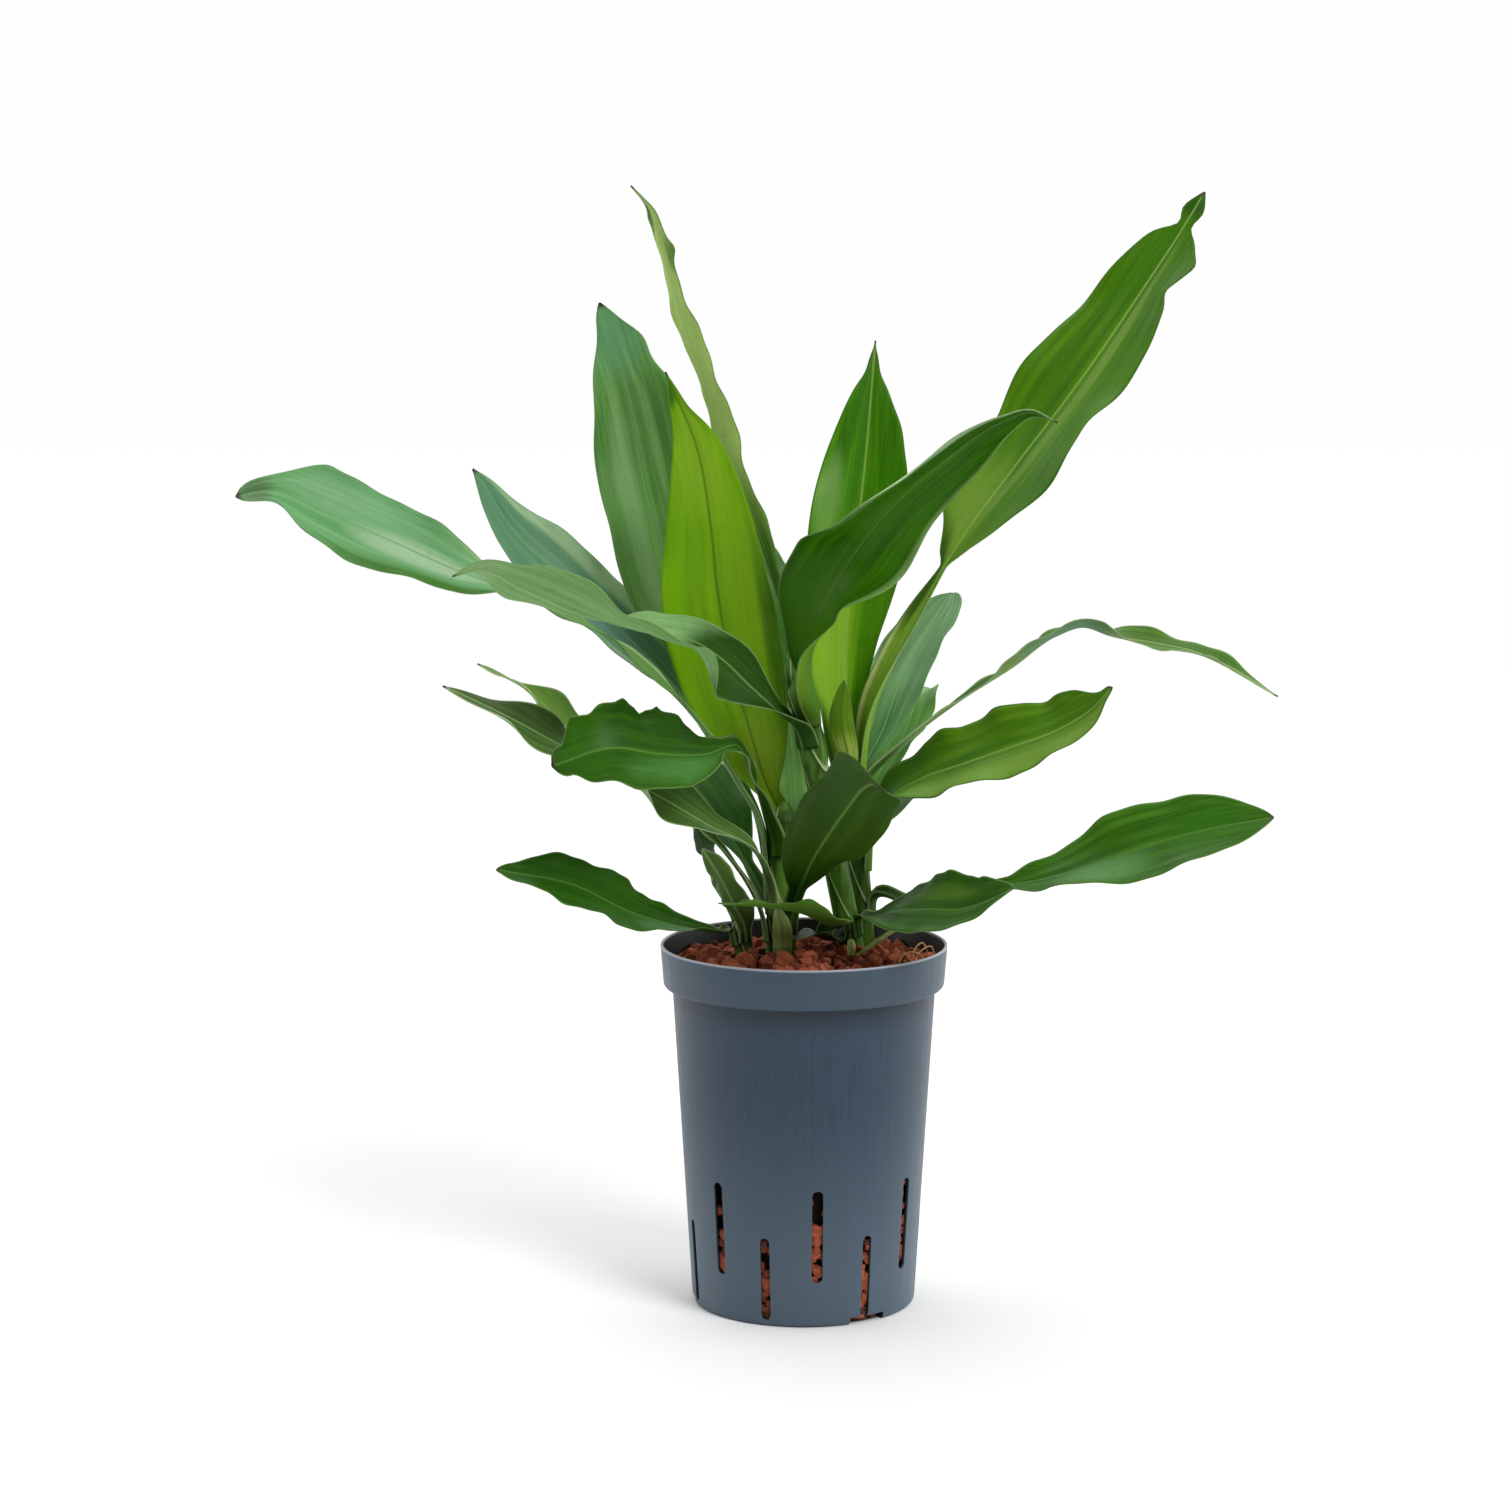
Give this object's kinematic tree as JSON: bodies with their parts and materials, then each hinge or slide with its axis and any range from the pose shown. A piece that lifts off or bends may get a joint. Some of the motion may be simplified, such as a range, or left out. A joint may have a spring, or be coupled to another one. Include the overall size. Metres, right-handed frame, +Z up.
{
  "type": "potted dracaena house plant",
  "caption": "House plant with long arching, waved green leaves on short stems that stand in clay granules in a tapered, slotted culture pot with a stepped rim.",
  "frame": {"origin": "the pot's axis at the ground", "axes": "+Z up, -Y towards the front, +X to the right of a viewer who looks at the front"},
  "size_m": [0.5306, 0.3526, 0.5815],
  "materials": {
    "pot": "blue-grey moulded plastic with a thin light rim edge",
    "granules": "rough, unglazed red-brown fired clay",
    "stem": "dark green ringed bark, half matt",
    "leaf_green": "waxy mid-green blade with fine lengthwise veins and thin pale margins",
    "leaf_dark": "waxy dark green blade with fine lengthwise veins",
    "leaf_blue": "waxy blue-green blade with a pale sheen and thin pale margins",
    "leaf_young": "waxy yellow-green young blade with a dark midrib line",
    "leaf_pale": "pale underside or thin leaf with light margins"
  },
  "bodies": {
    "root": {"pot": "pot", "granules": "granules", "stem_tall": "stem", "stem_right": "stem", "stem_middle": "stem", "stem_left": "stem", "leaf_arch_right": "leaf_dark", "leaf_arch_left": "leaf_green", "leaf_tall_thin": "leaf_pale", "leaf_bright_front": "leaf_young", "leaf_blue_upright": "leaf_blue", "leaf_far_left": "leaf_blue", "leaf_left_second": "leaf_blue", "leaf_left_bent": "leaf_green", "leaf_left_long": "leaf_green", "leaf_left_under": "leaf_green", "leaf_front_round": "leaf_green", "leaf_back_grey": "leaf_blue", "leaf_top_right": "leaf_green", "leaf_centre_back": "leaf_young", "leaf_right_back": "leaf_blue", "leaf_right_back_low": "leaf_blue", "leaf_right_thin": "leaf_pale", "leaf_right_mid": "leaf_young", "leaf_right_low": "leaf_dark", "leaf_spear": "leaf_dark", "leaf_back_right": "leaf_green", "leaf_right_front_low": "leaf_dark", "leaf_front_low": "leaf_green", "leaf_back_tall": "leaf_green", "leaf_low_left": "leaf_dark", "leaf_left_short": "leaf_dark", "leaf_left_shorter": "leaf_dark", "leaf_back_left": "leaf_green"}
  },
  "joints": []
}
